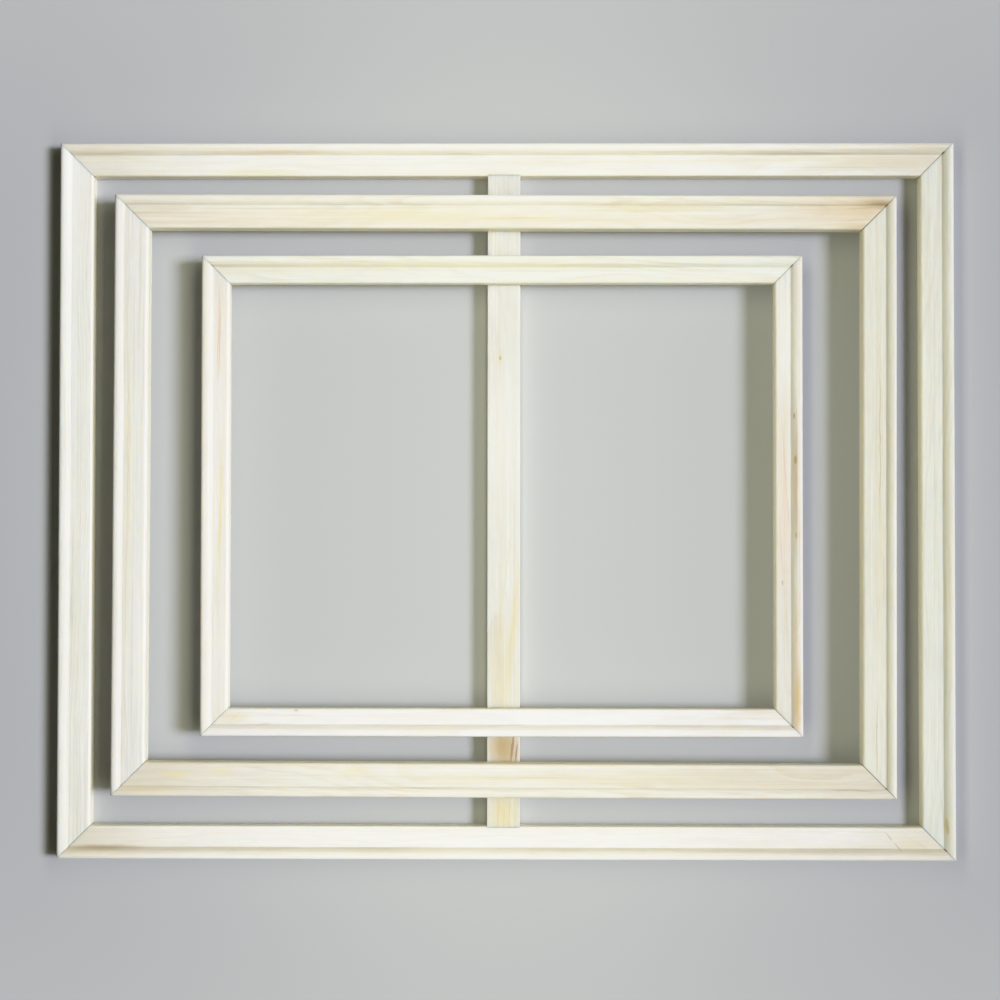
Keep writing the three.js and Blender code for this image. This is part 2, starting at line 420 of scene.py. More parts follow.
# ------------------------------------------------------------------ corrugated strips
def wave_outline(length, halves, grow):
    """Outline of a corrugated strip: s along it, t across, grown all round."""
    half = length / 2
    s = np.linspace(-half, half, halves * HALF_WAVE_STEPS + 1)
    phase = (s + half) / length * halves * math.pi
    t = -STRIP_WAVE * np.cos(phase)
    slope = STRIP_WAVE * np.sin(phase) * halves * math.pi / length
    norm = np.sqrt(1 + slope * slope)
    reach = STRIP_THICK / 2 + grow
    upper = np.stack([s - slope / norm * reach, t + reach / norm], 1)
    lower = np.stack([s + slope / norm * reach, t - reach / norm], 1)
    upper[0, 0] = lower[0, 0] = -half - grow
    upper[-1, 0] = lower[-1, 0] = half + grow
    return [tuple(v) for v in lower] + [tuple(v) for v in upper[::-1]]


def corner_strips(name, f):
    """The corner strips of a frame in its own plan: s_dir runs along a strip, t_dir across it."""
    diagonal = math.sqrt(0.5)
    strips = []
    for corner, (sx, sy) in CORNERS.items():
        window_x = sx * (f.length / 2 - f.width)
        window_y = sy * (f.height / 2 - f.width)
        for label, distance in zip(("inner", "outer"), f.strip_at):
            strips.append(
                SimpleNamespace(
                    name=f"{name}_fastener_{corner}_{label}",
                    corner=corner,
                    centre=(
                        window_x + sx * distance * diagonal,
                        window_y + sy * distance * diagonal,
                    ),
                    s_dir=(sx * diagonal, -sy * diagonal),
                    t_dir=(sx * diagonal, sy * diagonal),
                )
            )
    return strips


def strip_cut_outline(strip, length, turns):
    """The outline of a strip's cut, turned by -turns quarter turns into a rail's own direction."""
    points = []
    for s, t in wave_outline(length, STRIP_HALVES, STRIP_PLAY):
        x = strip.centre[0] + s * strip.s_dir[0] + t * strip.t_dir[0]
        y = strip.centre[1] + s * strip.s_dir[1] + t * strip.t_dir[1]
        for _ in range(turns):
            x, y = y, -x
        points.append((x, y))
    return points


def strip_cut(outline):
    return prism("cut", outline, -CUT_OVERRUN, STRIP_DEEP + STRIP_PLAY)


def build_strip(node, length, halves, centre, s_dir, t_dir, base, body, material):
    """A corrugated steel fastener, its deep edge thin and its low edge eased."""
    rings = [
        [(x, y, z) for x, y in wave_outline(length, halves, grow)] for z, grow in STRIP_RINGS
    ]
    n = len(rings[0])
    verts = [v for ring in rings for v in ring]
    faces = []
    for j in range(len(rings) - 1):
        for i in range(n):
            a, b = j * n + i, j * n + (i + 1) % n
            faces.append([a, b, b + n, a + n])
    # end caps as strips of quads between the two sides of the wave
    for first, flip in ((0, False), ((len(rings) - 1) * n, True)):
        for i in range(n // 2 - 1):
            quad = [first + i, first + i + 1, first + n - 2 - i, first + n - 1 - i]
            faces.append(quad[::-1] if flip else quad)
    ob = outward(new_object(node, verts, faces))
    axes = Matrix(
        (
            (s_dir[0], t_dir[0], 0, centre[0] / 1000),
            (s_dir[1], t_dir[1], 0, centre[1] / 1000),
            (0, 0, 1, 0),
            (0, 0, 0, 1),
        )
    )
    if axes.to_3x3().determinant() < 0:
        # mirror both the mesh and its axes, so that the object itself isn't mirrored
        for v in ob.data.vertices:
            v.co.y = -v.co.y
        ob.data.flip_normals()
        axes = axes @ Matrix.Scale(-1, 4, (0, 1, 0))
    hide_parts(node)
    finish_mesh(ob, node + "_steel", base @ axes, angle=40)
    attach(ob, body)
    ob.data.materials.append(material)


# ------------------------------------------------------------------ rails
def swept_rail(name, f, length, gaps):
    """The moulding along X, ends mitred and eased. y is +width/2 at the outer face."""
    section = rail_section(f)
    eased = inset(section, END_EASE)
    spans = max(12, int(length / RING_PITCH))

    def ring(points, t, back=0.0):
        u = points[:, 0]
        outer, inner = gaps[0] if t > 0 else gaps[1]
        gap = (outer + (inner - outer) * u / f.width) * math.sqrt(2)
        end = length / 2 - u - gap - back
        return np.stack([t * end, f.width / 2 - u, points[:, 1]], 1)

    rings = [ring(eased, -1.0), ring(section, -1.0, back=END_EASE)]
    rings += [ring(section, -1 + 2 * i / spans) for i in range(1, spans)]
    rings += [ring(section, 1.0, back=END_EASE), ring(eased, 1.0)]
    return loft(name, rings)


def add_tongues(ob, f, half):
    side = f.width / 2
    tip = half - TONGUE_SHORT
    parts = []
    for e in (1, -1):
        outline = [
            (e * (half - f.width - TONGUE_ROOT), -side),
            (e * tip, -side),
            (e * tip, side),
            (e * (half - TONGUE_ROOT), side),
        ]
        parts.append(prism("tongue", outline, TONGUE_Z[0] * f.thick, TONGUE_Z[1] * f.thick))
    boolean(ob, joined("tongues", parts), "UNION")


def cut_slots(ob, f, half):
    side = f.width / 2 + SLOT_OVERRUN
    z0, z1 = TONGUE_Z[0] * f.thick - JOINT_GAP, TONGUE_Z[1] * f.thick + JOINT_GAP
    parts = []
    for e in (1, -1):
        a, b = e * (half - f.width - JOINT_GAP), e * (half + SLOT_OVERRUN)
        parts.append(prism("slot", [(a, -side), (b, -side), (b, side), (a, side)], z0, z1))
    boolean(ob, joined("slots", parts), "DIFFERENCE")


def cut_brace_joint(ob, f, x):
    """The mortise for the brace's tenon and the cut for its strip, at x along the rail."""
    window = -f.width / 2
    side = TENON.width / 2 + JOINT_GAP
    near, far = window - MORTISE_OVERRUN, window + TENON.long + JOINT_GAP
    outline = [(x - side, near), (x + side, near), (x + side, far), (x - side, far)]
    mortise = prism("mortise", outline, TENON.z0 - JOINT_GAP, TENON.z1 + JOINT_GAP)
    boolean(ob, mortise, "DIFFERENCE")
    wave = wave_outline(BRACE_STRIP_LENGTH, BRACE_STRIP_HALVES, STRIP_PLAY)
    boolean(ob, strip_cut([(x + t, window + s) for s, t in wave]), "DIFFERENCE")


def build_rail(frame_name, side, seed):
    f = FRAMES[frame_name]
    turns = SIDES.index(side)
    long_rail = side in ("top", "bottom")
    length, across = (f.length, f.height) if long_rail else (f.height, f.length)
    middle = across / 2 - f.width / 2  # from the frame's centre to the middle of the rail
    name = f"{frame_name}_{side}_rail"
    ob = swept_rail(name, f, length, [MITRES[frame_name][corner] for corner in ENDS[side]])
    if long_rail:
        add_tongues(ob, f, length / 2)
    else:
        cut_slots(ob, f, length / 2)
    cuts = []
    for strip in corner_strips(frame_name, f):
        if side in strip.corner:
            outline = strip_cut_outline(strip, f.strip_length, turns)
            cuts.append(strip_cut([(x, y - middle) for x, y in outline]))
    boolean(ob, joined("cuts", cuts), "DIFFERENCE")
    if frame_name == "large" and long_rail:
        cut_brace_joint(ob, f, brace_x() if side == "top" else -brace_x())
    matrix = (
        f.place
        @ Matrix.Rotation(math.pi / 2 * turns, 4, "Z")
        @ Matrix.Translation((0, middle / 1000, 0))
    )
    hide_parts(name)
    finish_mesh(ob, name + "_wood", matrix, wander=0.035, seed=seed)
    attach(ob, f"{frame_name}_frame")
    return ob


# ------------------------------------------------------------------ centre brace
def brace_section(width, thick):
    """A rectangle with rounded corners, anticlockwise from the back."""
    r = BRACE_EDGE_R
    side = width / 2 - r
    centres = ((-side, r), (side, r), (side, thick - r), (-side, thick - r))
    quarter = math.pi / 2
    arcs = [
        arc(u, z, r, r, (i - 2) * quarter, (i - 1) * quarter, 5)
        for i, (u, z) in enumerate(centres)
    ]
    points = []
    for i, corner in enumerate(arcs):
        points += corner
        following = arcs[(i + 1) % 4]
        points += straight(corner[-1], following[0], support=0.3, pitch=3.4, rounding=math.floor)
    return np.array(points)


def scribe_brace(ob, f, width):
    """Cuts the brace's ends to the rails' own section, grown by a hair."""
    grown = inset(rail_section(f), -SCRIBE_GAP)
    n = len(grown)
    reach = width / 2 + SCRIBE_OVERRUN
    for e in (1, -1):
        verts = [(e * (f.height / 2 - u), y, z) for y in (-reach, reach) for u, z in grown]
        faces = [[i, (i + 1) % n, n + (i + 1) % n, n + i] for i in range(n)]
        faces += [list(range(n)), list(range(n, 2 * n))[::-1]]
        boolean(ob, outward(new_object("rail_cut", verts, faces)), "DIFFERENCE")


def build_brace():
    """Built along X, then turned to lie along Y."""
    f = FRAMES["large"]
    lo, hi = cad_box(BRACE)
    width, thick = hi[0] - lo[0], hi[2] - lo[2]
    window = f.height / 2 - f.width
    reach = window + f.arris - BRACE_SHORT
    section = brace_section(width, thick)
    rings = []
    for i in range(BRACE_SPANS + 1):
        x = -reach + 2 * reach * i / BRACE_SPANS
        rings.append(np.stack([np.full(len(section), x), section[:, 0], section[:, 1]], 1))
    ob = loft("brace", rings)
    scribe_brace(ob, f, width)
    tenons, cuts = [], []
    side = TENON.width / 2
    for e in (1, -1):
        a, b = e * (window - TENON.root), e * (window + TENON.long)
        outline = [(a, -side), (b, -side), (b, side), (a, side)]
        tenons.append(prism("tenon", outline, TENON.z0, TENON.z1))
    boolean(ob, joined("tenons", tenons), "UNION")
    wave = wave_outline(BRACE_STRIP_LENGTH, BRACE_STRIP_HALVES, STRIP_PLAY)
    for e in (1, -1):
        cuts.append(strip_cut([(e * window + s, t) for s, t in wave]))
    boolean(ob, joined("cuts", cuts), "DIFFERENCE")
    centre = (brace_x() / 1000, (lo[1] + hi[1]) / 2 / 1000, lo[2] / 1000)
    matrix = Matrix.Translation(centre) @ Matrix.Rotation(math.pi / 2, 4, "Z")
    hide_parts(BRACE)
    finish_mesh(ob, BRACE + "_wood", matrix, wander=0.03, seed=51.3)
    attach(ob, "large_frame")
    return ob


# ------------------------------------------------------------------ node helpers
class Value:
    """An output socket that takes arithmetic: each operation adds one Math node."""

    def __init__(self, tree, socket):
        self.tree = tree
        self.socket = socket

    def __add__(self, other):
        return self.tree.math("ADD", self, other)

    def __radd__(self, other):
        return self.tree.math("ADD", other, self)

    def __sub__(self, other):
        return self.tree.math("SUBTRACT", self, other)

    def __rsub__(self, other):
        return self.tree.math("SUBTRACT", other, self)

    def __mul__(self, other):
        return self.tree.math("MULTIPLY", self, other)

    def __rmul__(self, other):
        return self.tree.math("MULTIPLY", other, self)

    def __truediv__(self, other):
        return self.tree.math("DIVIDE", self, other)

    def __abs__(self):
        return self.tree.math("ABSOLUTE", self)

    def ramp(self, zero, one):
        """Smooth 0 to 1 as this goes from zero to one."""
        inputs = {"Value": self, "From Min": zero, "From Max": one, "To Min": 0, "To Max": 1}
        return self.tree.get(
            "ShaderNodeMapRange", 0, inputs, interpolation_type="SMOOTHSTEP"
        )

    def blend(self, low, high):
        """low where this is 0, high where it is 1."""
        return self.tree.mix_sockets("FLOAT", "VALUE", (self, low, high))

    def swing(self, amount):
        """Noise round 0.5 turned into noise round 0, times amount."""
        return (self - 0.5) * amount


class Tree:
    def __init__(self, tree):
        self.tree = tree

    def put(self, socket, value):
        if isinstance(value, Value):
            self.tree.links.new(value.socket, socket)
        else:
            socket.default_value = value

    def node(self, kind, inputs=None, **props):
        made = self.tree.nodes.new(kind)
        for key, value in props.items():
            setattr(made, key, value)
        for key, value in (inputs or {}).items():
            self.put(made.inputs[key], value)
        return made

    def get(self, kind, output, inputs=None, **props):
        """A new node's output, by name or number."""
        return Value(self, self.node(kind, inputs, **props).outputs[output])

    def math(self, operation, *values, clamp=False):
        inputs = dict(enumerate(values))
        return self.get("ShaderNodeMath", 0, inputs, operation=operation, use_clamp=clamp)

    def vec(self, operation, *vectors):
        output = "Value" if operation in ("LENGTH", "DOT_PRODUCT") else "Vector"
        inputs = dict(enumerate(vectors))
        return self.get("ShaderNodeVectorMath", output, inputs, operation=operation)

    def xyz(self, vector):
        outputs = self.node("ShaderNodeSeparateXYZ", {"Vector": vector}).outputs
        return [Value(self, socket) for socket in outputs]

    def millimetres(self):
        """The place in the object, in millimetres."""
        place = self.get("ShaderNodeTexCoord", "Object")
        return self.get(
            "ShaderNodeVectorMath", "Vector", {0: place, "Scale": 1000.0}, operation="SCALE"
        )

    def mix_sockets(self, data_type, socket_type, values, **props):
        made = self.node("ShaderNodeMix", data_type=data_type, **props)
        sockets = [s for s in made.inputs if s.type == socket_type]
        if data_type == "RGBA":
            sockets.insert(0, made.inputs["Factor"])
        for socket, value in zip(sockets, values):
            self.put(socket, value)
        return Value(self, [s for s in made.outputs if s.type == socket_type][0])

    def mix(self, factor, a, b, blend="MIX"):
        values = (factor, a, b)
        return self.mix_sockets("RGBA", "RGBA", values, blend_type=blend, clamp_factor=True)

    def multiplied(self, colour, tint):
        return self.mix(1.0, colour, tint, blend="MULTIPLY")

    def grey(self, value):
        inputs = {"Red": value, "Green": value, "Blue": value}
        return self.get("ShaderNodeCombineColor", 0, inputs)

    def noise(self, vector, detail, rough, output=0):
        inputs = {"Vector": vector, "Scale": 1.0, "Detail": detail, "Roughness": rough}
        inputs["Distortion"] = 0.0
        return self.get("ShaderNodeTexNoise", output, inputs, noise_dimensions="3D")

    def grain(self, vector, size, detail, rough, shift=(0, 0, 0), output=0):
        """Noise whose patches are size long in x, y and z."""
        scaled = self.vec("MULTIPLY", vector, tuple(1.0 / length for length in size))
        return self.noise(self.vec("ADD", scaled, shift), detail, rough, output)

    def sway(self, vector, size, reach, detail, rough, shift=(0, 0, 0)):
        """A vector that wanders round zero, scaled by reach."""
        drift = self.grain(vector, size, detail, rough, shift, output="Color")
        return self.vec("MULTIPLY", self.vec("SUBTRACT", drift, (0.5, 0.5, 0.5)), reach)

    def surface(self, inputs, height, strength, distance):
        """The shader and its bump, joined to the material's output."""
        shader = self.node("ShaderNodeBsdfPrincipled", inputs)
        bump = {"Strength": strength, "Distance": distance, "Height": height}
        self.put(shader.inputs["Normal"], self.get("ShaderNodeBump", 0, bump))
        self.node("ShaderNodeOutputMaterial", {"Surface": Value(self, shader.outputs[0])})


def new_material(name):
    material = bpy.data.materials.new(name)
    material.use_nodes = True
    material.node_tree.nodes.clear()
    return material, Tree(material.node_tree)


def rgb(r, g, b):
    """sRGB 0..255 to linear with alpha."""

    def linear(c):
        c /= 255.0
        return c / 12.92 if c <= 0.04045 else ((c + 0.055) / 1.055) ** 2.4

    return (linear(r), linear(g), linear(b), 1.0)


# ------------------------------------------------------------------ wood, as one node group
VECTOR, FLOAT, COLOR = "NodeSocketVector", "NodeSocketFloat", "NodeSocketColor"
# name, kind, default; lengths in millimetres
WOOD_INPUTS = (
    ("Vector", VECTOR, None),  # place in the object, X along the grain
    ("Shift", VECTOR, (0, 0, 0)),  # moves the noise
    ("PithY", FLOAT, 20.0),  # where the centre of the tree lies
    ("PithZ", FLOAT, -60.0),
    ("TiltY", FLOAT, 0.0),  # how the pith runs off along X
    ("TiltZ", FLOAT, 0.02),
    ("Spacing", FLOAT, 2.6),  # of the growth rings
    ("Ring", FLOAT, 0.5),  # strength of the rings
    ("Streaks", FLOAT, 0.5),
    ("HalfLength", FLOAT, 300.0),
    ("HalfWidth", FLOAT, 13.75),
    ("Foot", FLOAT, 9.5),  # foot of the moulding's slope, from the outer face
    ("Slope", FLOAT, 0.0),  # painted shade on that slope
    ("Joint", FLOAT, 0.0),  # dirt in the mitres
    ("Light", COLOR, (0.8, 0.77, 0.66, 1)),
    ("Late", COLOR, (0.6, 0.45, 0.28, 1)),
    ("Warm", COLOR, (0.75, 0.6, 0.42, 1)),
)
WOOD_OUTPUTS = (("Color", COLOR), ("Roughness", FLOAT), ("Height", FLOAT), ("EndGrain", FLOAT))


def late_wood(t, given, sample):
    """Growth rings: pale early wood, a thin darker late band, then a sharp end."""
    bend = t.sway(sample, size=(260, 70, 70), reach=(0, 26, 26), detail=2, rough=0.45)
    fine = t.sway(
        sample, size=(42, 9, 9), reach=(0, 1.7, 1.7), detail=3, rough=0.55, shift=(7, 3, 1)
    )
    x, y, z = t.xyz(t.vec("ADD", t.vec("ADD", given["Vector"], bend), fine))
    y = (y - given["PithY"]) + x * given["TiltY"]
    z = (z - given["PithZ"]) + x * given["TiltZ"]
    radius = t.math("SQRT", y * y + z * z)
    # rings of uneven width: the noise runs along the radius only
    along = t.get("ShaderNodeCombineXYZ", 0, {"X": radius * 0.09, "Y": 3.3, "Z": 1.7})
    phase = radius / given["Spacing"] + t.noise(along, detail=2, rough=0.6) * 5.0
    part = t.math("FRACT", phase)
    late = part.ramp(zero=0.35, one=0.9) * (1.0 - part.ramp(zero=0.93, one=1.0))
    ring = t.math("FLOOR", phase)
    strength = t.get("ShaderNodeTexWhiteNoise", "Value", {"W": ring}, noise_dimensions="1D")
    late = late * strength.blend(0.25, 1.0)
    patchy = t.grain(sample, size=(120, 14, 14), shift=(2, 9, 4), detail=2, rough=0.5)
    return late * patchy.ramp(zero=0.3, one=0.7).blend(0.35, 1.0), patchy


def painted_slope_shade(t, given, col, u, up, narrow, patchy):
    """Painted shade: the inner slope of the ovolo is coloured darker towards its foot, on faces that
    look up.
    """
    slope = (u + narrow.swing(1.6)).ramp(zero=3.0, one=8.4)
    slope = slope * (1.0 - (u - given["Foot"]).ramp(zero=-0.3, one=0.35))
    slope = slope * up.ramp(zero=0.2, one=0.5) * given["Slope"]
    uneven = patchy.ramp(zero=0.3, one=0.65).blend(0.75, 1.0)
    slope = t.math("MULTIPLY", slope, uneven, clamp=True)
    # the colour of the painted shade on the slope
    return t.multiplied(col, t.mix(slope, (1, 1, 1, 1), (0.70, 0.655, 0.53, 1)))


def mitre_dirt(t, given, col, sample, x, u):
    to_mitre = given["HalfLength"] - u - abs(x)
    grime = t.grain(sample, size=(2.6, 2.6, 2.6), shift=(1, 1, 6), detail=3, rough=0.6)
    seam = 1.0 - to_mitre.ramp(zero=0.1, one=1.1)
    seam = seam * grime.ramp(zero=0.34, one=0.66) * given["Joint"]
    return t.mix(seam * u.ramp(zero=4.0, one=9.0), col, rgb(150, 116, 70))


def wood_group():
    group = bpy.data.node_groups.new("planed_softwood", "ShaderNodeTree")
    for name, kind, default in WOOD_INPUTS:
        socket = group.interface.new_socket(name, in_out="INPUT", socket_type=kind)
        if default is not None:
            socket.default_value = default
    for name, kind in WOOD_OUTPUTS:
        group.interface.new_socket(name, in_out="OUTPUT", socket_type=kind)
    t = Tree(group)
    given = {s.name: Value(t, s) for s in group.nodes.new("NodeGroupInput").outputs}
    result = group.nodes.new("NodeGroupOutput").inputs
    sample = t.vec("ADD", given["Vector"], given["Shift"])
    late, patchy = late_wood(t, given, sample)

    # end grain: faces that look along the grain
    geometry = t.node("ShaderNodeNewGeometry")
    world_normal = Value(t, geometry.outputs["Normal"])
    normal = t.get(
        "ShaderNodeVectorTransform",
        0,
        {"Vector": world_normal},
        vector_type="NORMAL",
        convert_from="WORLD",
        convert_to="OBJECT",
    )
    normal_x, _, normal_z = t.xyz(normal)
    end = abs(normal_x).ramp(zero=0.35, one=0.85)

    # streaks and fibres along the grain
    broad = t.grain(sample, size=(520, 7.5, 7.5), shift=(1, 5, 2), detail=3, rough=0.5)
    narrow = t.grain(sample, size=(210, 1.9, 1.9), shift=(4, 1, 8), detail=3, rough=0.55)
    fibre = t.grain(sample, size=(26, 0.42, 0.42), shift=(3, 3, 3), detail=4, rough=0.6)
    short = t.grain(sample, size=(5.0, 0.30, 0.30), shift=(9, 2, 6), detail=2, rough=0.5)
    cloud = t.grain(sample, size=(90, 30, 30), shift=(5, 5, 1), detail=2, rough=0.5)
    ring = late * given["Ring"] * end.blend(0.62, 1.0)
    col = t.mix(ring, given["Light"], given["Late"])
    col = t.mix(broad.ramp(zero=0.47, one=0.72) * given["Streaks"], col, given["Warm"])
    thin = narrow.ramp(zero=0.57, one=0.74) * (given["Streaks"] * 0.55)
    col = t.mix(thin, col, given["Late"])
    col = t.mix(narrow.ramp(zero=0.47, one=0.28) * 0.30, col, rgb(250, 247, 236))

    # fibres, clouds and mottle: a little lighter and darker
    mottle = t.grain(sample, size=(17, 3.4, 3.4), shift=(6, 2, 7), detail=3, rough=0.6)
    lightness = 1.0 + fibre.swing(0.26) + cloud.swing(0.12) + mottle.swing(0.12)
    col = t.multiplied(col, t.grey(lightness))
    # short dark flecks
    fleck = short.ramp(zero=0.70, one=0.80) * patchy.ramp(zero=0.42, one=0.60)
    col = t.mix(fleck * 0.30, col, rgb(168, 132, 88))
    # end grain is darker, with open pores
    pores = t.grain(sample, size=(1.4, 0.33, 0.33), detail=3, rough=0.6)
    dark_end = t.multiplied(col, rgb(206, 176, 128))
    dark_end = t.mix(pores.ramp(zero=0.55, one=0.72) * 0.45, dark_end, rgb(112, 78, 44))
    col = t.mix(end * 0.9, col, dark_end)

    x, y, _ = t.xyz(given["Vector"])
    u = given["HalfWidth"] - y  # from the outer face
    # painted shade on the ovolo's slope
    col = painted_slope_shade(t, given, col, u, normal_z, narrow, patchy)
    # painted light: the vertical sides are coloured paler than the face
    painted_light_upright = 1.0 - abs(normal_z).ramp(zero=0.15, one=0.5)
    col = t.mix(painted_light_upright * (1.0 - end) * 0.55, col, rgb(246, 238, 206))
    col = mitre_dirt(t, given, col, sample, x, u)

    # edges rubbed to another tone: where the bevelled normal leaves the true one
    bevelled = t.get("ShaderNodeBevel", 0, {"Radius": 0.0006}, samples=4)
    worn = t.vec("DOT_PRODUCT", bevelled, world_normal)
    worn = worn.ramp(zero=0.995, one=0.80) * cloud.ramp(zero=0.35, one=0.65)
    col = t.mix(worn * (1.0 - end) * 0.28, col, rgb(216, 196, 158))

    rough = 0.52 + fibre.swing(0.22) + cloud.swing(0.16) + late * -0.08
    rough = t.math("ADD", rough, end * 0.22, clamp=True)

    # relief in millimetres: fibres, raised late wood, faint cutter marks across the grain
    cutter_pitch = 1.7
    along = t.xyz(sample)[0] + patchy * 1.2
    cutter = t.math("SINE", along * (2 * math.pi / cutter_pitch))
    cutter = cutter * (0.0035 * (1.0 - end))
    height = fibre.swing(0.055) + late * 0.018 + fleck * -0.04 + cutter + end * pores.swing(0.16)

    for name, value in zip(("Color", "Roughness", "Height", "EndGrain"), (col, rough, height, end)):
        t.put(result[name], value)
    return group


WOOD = wood_group()


def oval_distance(t, place, x, y, half_length, half_width, turn):
    """Distance from the middle of an oval in plan, 1 at its rim."""
    offset = t.vec("SUBTRACT", place, (float(x), float(y), 0.0))
    if turn:
        inputs = {"Vector": offset, "Angle": -math.radians(turn)}
        offset = t.get("ShaderNodeVectorRotate", 0, inputs, rotation_type="Z_AXIS")
    return t.vec("LENGTH", t.vec("MULTIPLY", offset, (1.0 / half_length, 1.0 / half_width, 0.0)))


def wood_material(name, seed, inputs, marks, washes):
    """The wood group with a piece's own inputs, its soft washes and its thin marks."""
    material, t = new_material(name)
    place = t.millimetres()
    wood = t.node("ShaderNodeGroup", node_tree=WOOD)
    shift = tuple(float(v) for v in np.random.RandomState(seed).uniform(-3000, 3000, 3))
    for key, value in dict(Vector=place, Shift=shift, **inputs).items():
        t.put(wood.inputs[key], value)
    col, rough, height = (Value(t, wood.outputs[k]) for k in ("Color", "Roughness", "Height"))

    wobble = t.sway(place, size=(18, 6, 6), reach=(0, 2.2, 0), detail=2, rough=0.5)
    wobbled = t.vec("ADD", place, wobble)
    tear = t.grain(place, size=(14, 0.7, 0.7), shift=(8, 8, 8), detail=3, rough=0.6)
    # marks lie in the show face only; the sides and the back keep just the washes
    facing = t.xyz(t.get("ShaderNodeNewGeometry", "True Normal"))[2]
    shown = facing.ramp(zero=0.10, one=0.30)
    for *oval, colour, strength in washes:
        cover = oval_distance(t, wobbled, *oval).ramp(zero=1.0, one=0.0)
        col = t.mix(cover * float(strength), col, colour)
    for *oval, colour, strength in marks:
        torn = oval_distance(t, wobbled, *oval) + tear.swing(0.9)
        cover = torn.ramp(zero=1.0, one=0.45) * shown
        col = t.mix(cover * float(strength), col, colour)
        height = height - cover * 0.02
    shader = {
        "Base Color": col,
        "Roughness": rough,
        "Specular IOR Level": 0.32,
        "Subsurface Weight": 0.75,
        "Subsurface Radius": (1.0, 0.72, 0.40),
        "Subsurface Scale": 0.004,
    }
    t.surface(shader, height, strength=0.55, distance=0.001)
    return material


def steel_material():
    """Scratched grey steel with patches of rust."""
    material, t = new_material("corrugated_steel")
    place = t.millimetres()
    scratch = t.grain(place, size=(3.0, 0.12, 0.12), detail=4, rough=0.6)
    blotch = t.grain(place, size=(2.4, 2.4, 2.4), shift=(3, 1, 7), detail=4, rough=0.6)
    rust = blotch.ramp(zero=0.60, one=0.74)
    base = t.mix(scratch, rgb(150, 152, 154), rgb(196, 197, 198))
    base = t.mix(rust * 0.55, base, rgb(124, 98, 74))
    shader = {
        "Base Color": base,
        "Metallic": 1.0 - rust * 0.6,
        "Roughness": 0.28 + (scratch * 0.18 + rust * 0.3),
    }
    t.surface(shader, (scratch + rust) * 0.02, strength=0.4, distance=0.0004)
    return material


# ------------------------------------------------------------------ how each piece of wood looks
LATE = rgb(192, 172, 128)
# The light and warm colours differ from piece to piece partly as the boards' own tone and partly as
# painted shade: the left and right rails are darker where the light is weaker.
# light sRGB, warm sRGB, ring, streaks, pith y z, tilt y z, ring spacing, painted shade on the slope
LOOKS = {
    "large_top_rail": (
        (233.6, 232.0, 222.1), (227.5, 215.8, 187.0), 0.50, 0.50, (30, -95), (0.01, 0.012), 3.0, 0.62),
    "large_left_rail": (
        (230.1, 231.0, 221.7), (224.7, 220.0, 200.4), 0.52, 0.58, (-70, -40), (0.015, 0.01), 2.6, 0.30),
    "large_bottom_rail": (
        (234.0, 232.4, 224.0), (228.0, 217.3, 194.4), 0.26, 0.26, (50, -80), (-0.01, 0.008), 3.2, 0.72),
    "large_right_rail": (
        (226.7, 228.2, 215.8), (218.6, 213.4, 188.2), 0.36, 0.38, (-50, -60), (0.02, 0.01), 2.8, 0.30),
    "medium_top_rail": (
        (228.6, 225.8, 212.7), (223.8, 209.8, 184.4), 0.48, 0.60, (15, -70), (0.012, 0.02), 2.8, 0.34),
    "medium_left_rail": (
        (227.0, 226.8, 218.9), (222.4, 217.1, 202.0), 0.44, 0.48, (70, -30), (0.01, 0.01), 2.4, 0.25),
    "medium_bottom_rail": (
        (224.6, 221.8, 210.2), (218.8, 203.9, 177.0), 0.48, 0.55, (-30, -60), (0.02, 0.018), 3.0, 0.12),
    "medium_right_rail": (
        (224.9, 224.2, 210.1), (219.5, 215.6, 198.4), 0.28, 0.30, (40, -50), (0.01, 0.015), 2.6, 0.34),
    "small_top_rail": (
        (226.7, 228.6, 218.1), (221.7, 215.6, 194.6), 0.52, 0.60, (-20, -60), (0.01, 0.015), 2.8, 0.30),
    "small_left_rail": (
        (226.6, 223.2, 214.1), (221.4, 213.7, 197.4), 0.24, 0.26, (50, -40), (0.01, 0.012), 2.6, 0.2),
    "small_bottom_rail": (
        (231.0, 229.5, 224.5), (226.0, 215.4, 195.5), 0.34, 0.36, (20, -80), (0.012, 0.01), 3.0, 0.42),
    "small_right_rail": (
        (222.7, 221.3, 212.8), (220.3, 204.1, 180.7), 0.36, 0.48, (8, -45), (0.014, 0.03), 2.6, 0.26),
    BRACE: (
        (212.9, 212.7, 205.3), (209.4, 199.3, 178.2), 0.34, 0.36, (4, -34), (0.006, 0.035), 2.8, 0.0),
}
MITRE_DIRT = 0.42

BROWN, RUST, OLIVE = rgb(160, 136, 90), rgb(194, 166, 116), rgb(188, 180, 116)
ORANGE, YELLOW, PINK = rgb(216, 190, 138), rgb(226, 214, 162), rgb(226, 206, 184)
# the last of these colours is painted shade for the spots at the mitres
TAN, GREY, SPOT_SHADE = rgb(216, 203, 162), rgb(200, 198, 172), rgb(104, 84, 54)
# the first of these colours is painted shade for the ends of the long rails
END_SHADE, PALE = rgb(206, 193, 152), rgb(246, 244, 234)
